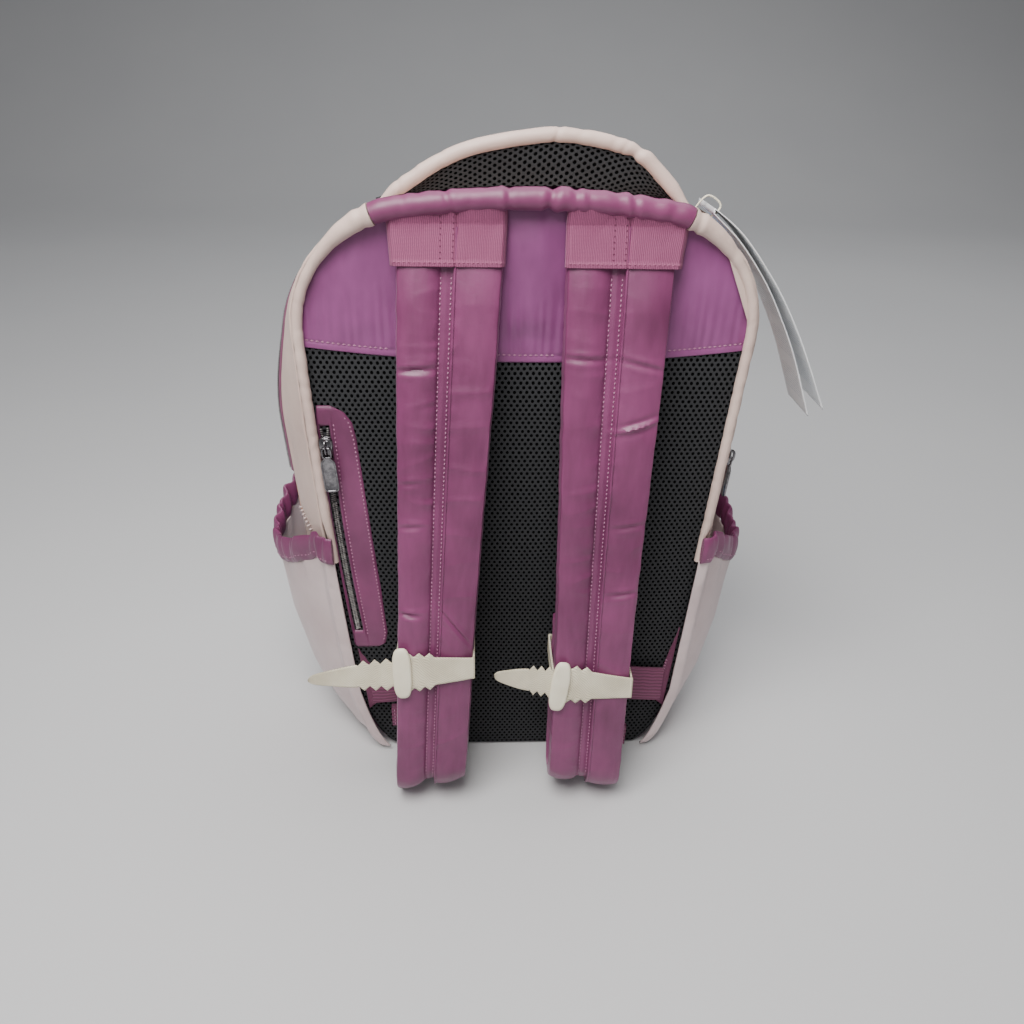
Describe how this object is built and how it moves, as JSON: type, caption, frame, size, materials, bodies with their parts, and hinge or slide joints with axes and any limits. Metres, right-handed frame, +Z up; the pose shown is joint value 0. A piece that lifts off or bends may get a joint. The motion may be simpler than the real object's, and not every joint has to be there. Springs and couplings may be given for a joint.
{
  "type": "racket backpack",
  "caption": "Soft zipped racket backpack: padded mesh back, padded shoulder straps folded up in wrap ties, carrying handle, side bottle pockets and a racket pocket on the front.",
  "frame": {"origin": "middle of the base's underside, where the bag stands", "axes": "+Z up; the padded back with the shoulder straps faces -Y; +X is to the right as the straps are looked at"},
  "size_m": [0.396, 0.2425, 0.4638],
  "materials": {
    "plum_nylon": "satin woven nylon, plum",
    "grosgrain": "ribbed grosgrain, plum",
    "blush_nylon": "semi-matt woven nylon, blush",
    "spacer_mesh": "black open-cell spacer mesh",
    "printed_nylon": null,
    "foam": "closed-cell foam in a thin lining",
    "board": "thin stiffening sheet",
    "gunmetal": "polished gunmetal",
    "zip_coil": "coil chain with a metallic face",
    "buckle_plastic": "moulded, matt",
    "tie_plastic": "cream, fine diagonal hatching",
    "card": "blank coated card"
  },
  "bodies": {
    "bag": {"back_mesh_panel": "spacer_mesh", "back_yoke": "plum_nylon", "back_foam_pad": "foam", "frame_sheet": "board", "back_gusset": "blush_nylon", "front_gusset": "printed_nylon", "base_panel": "plum_nylon", "front_panel": "printed_nylon", "rim_top": "plum_nylon", "rim_right": "blush_nylon", "rim_left": "blush_nylon", "back_pocket_facing": "plum_nylon", "back_zip_chain": "zip_coil", "main_zip_tape": "plum_nylon", "main_zip_chain": "zip_coil", "racket_pocket_wall": "plum_nylon", "racket_pocket_panel": "blush_nylon", "racket_zip_tape": "plum_nylon", "racket_zip_chain": "zip_coil", "bottle_pocket_left": "blush_nylon", "bottle_pocket_right": "blush_nylon", "pocket_cuff_left": "plum_nylon", "pocket_cuff_right": "plum_nylon", "handle_patch_left": "grosgrain", "handle_patch_right": "grosgrain", "tag_loop": "tie_plastic", "webbing_lower_left": "plum_nylon", "strap_wing_left": "plum_nylon", "webbing_lower_right": "plum_nylon", "strap_wing_right": "plum_nylon"},
    "strap_left": {"strap_pad_left": "plum_nylon", "strap_anchor_left": "grosgrain", "ladder_lock_left": "buckle_plastic", "webbing_upper_left": "plum_nylon", "webbing_hem_left": "plum_nylon", "tie_band_left": "tie_plastic", "tie_head_left": "tie_plastic"},
    "strap_right": {"strap_pad_right": "plum_nylon", "strap_anchor_right": "grosgrain", "ladder_lock_right": "buckle_plastic", "webbing_upper_right": "plum_nylon", "webbing_hem_right": "plum_nylon", "tie_band_right": "tie_plastic", "tie_head_right": "tie_plastic"},
    "handle": {"handle_band": "spacer_mesh", "handle_roll": "blush_nylon"},
    "back_zip_slider": {"back_zip_slider": "gunmetal"},
    "back_zip_puller": {"back_zip_puller": "gunmetal"},
    "main_zip_slider": {"main_zip_slider": "gunmetal"},
    "main_zip_puller": {"main_zip_puller": "gunmetal"},
    "racket_zip_slider": {"racket_zip_slider": "gunmetal"},
    "racket_zip_puller": {"racket_zip_puller": "gunmetal"},
    "hang_tag": {"hang_tag": "card"}
  },
  "joints": [
    {"name": "strap_left_swing", "type": "hinge", "parent": "bag", "child": "strap_left", "pos_m": [-0.0463, -0.0838, 0.416], "axis": [-1, 0, 0], "range_deg": [0, 18]},
    {"name": "strap_right_swing", "type": "hinge", "parent": "bag", "child": "strap_right", "pos_m": [0.0522, -0.0838, 0.416], "axis": [-1, 0, 0], "range_deg": [0, 18]},
    {"name": "handle_tilt", "type": "hinge", "parent": "bag", "child": "handle", "pos_m": [0, -0.057, 0.4245], "axis": [1, 0, 0], "range_deg": [0, 60]},
    {"name": "back_zip_slide", "type": "slide", "parent": "bag", "child": "back_zip_slider", "axis": [0.0577, 0, -0.9983], "range_m": [0, 0.142]},
    {"name": "back_zip_puller_swing", "type": "hinge", "parent": "back_zip_slider", "child": "back_zip_puller", "pos_m": [-0.13004, -0.08635, 0.27492], "axis": [-0.9983, 0, -0.0577], "range_deg": [0, 135]},
    {"name": "main_zip_slide", "type": "slide", "parent": "bag", "child": "main_zip_slider", "axis": [0.048, 0, 0.9988], "range_m": [0, 0.052]},
    {"name": "main_zip_puller_swing", "type": "hinge", "parent": "main_zip_slider", "child": "main_zip_puller", "pos_m": [0.15504, -0.03577, 0.24464], "axis": [0, -1, 0], "range_deg": [0, 135]},
    {"name": "racket_zip_slide", "type": "slide", "parent": "bag", "child": "racket_zip_slider", "axis": [0, 0.0926, -0.9957], "range_m": [0, 0.18]},
    {"name": "racket_zip_puller_swing", "type": "hinge", "parent": "racket_zip_slider", "child": "racket_zip_puller", "pos_m": [0.074, 0.08603, 0.28534], "axis": [1, 0, 0], "range_deg": [0, 135]},
    {"name": "hang_tag_swing", "type": "hinge", "parent": "bag", "child": "hang_tag", "pos_m": [0.1175, -0.037, 0.4152], "axis": [0, -1, 0], "range_deg": [0, 30]}
  ]
}
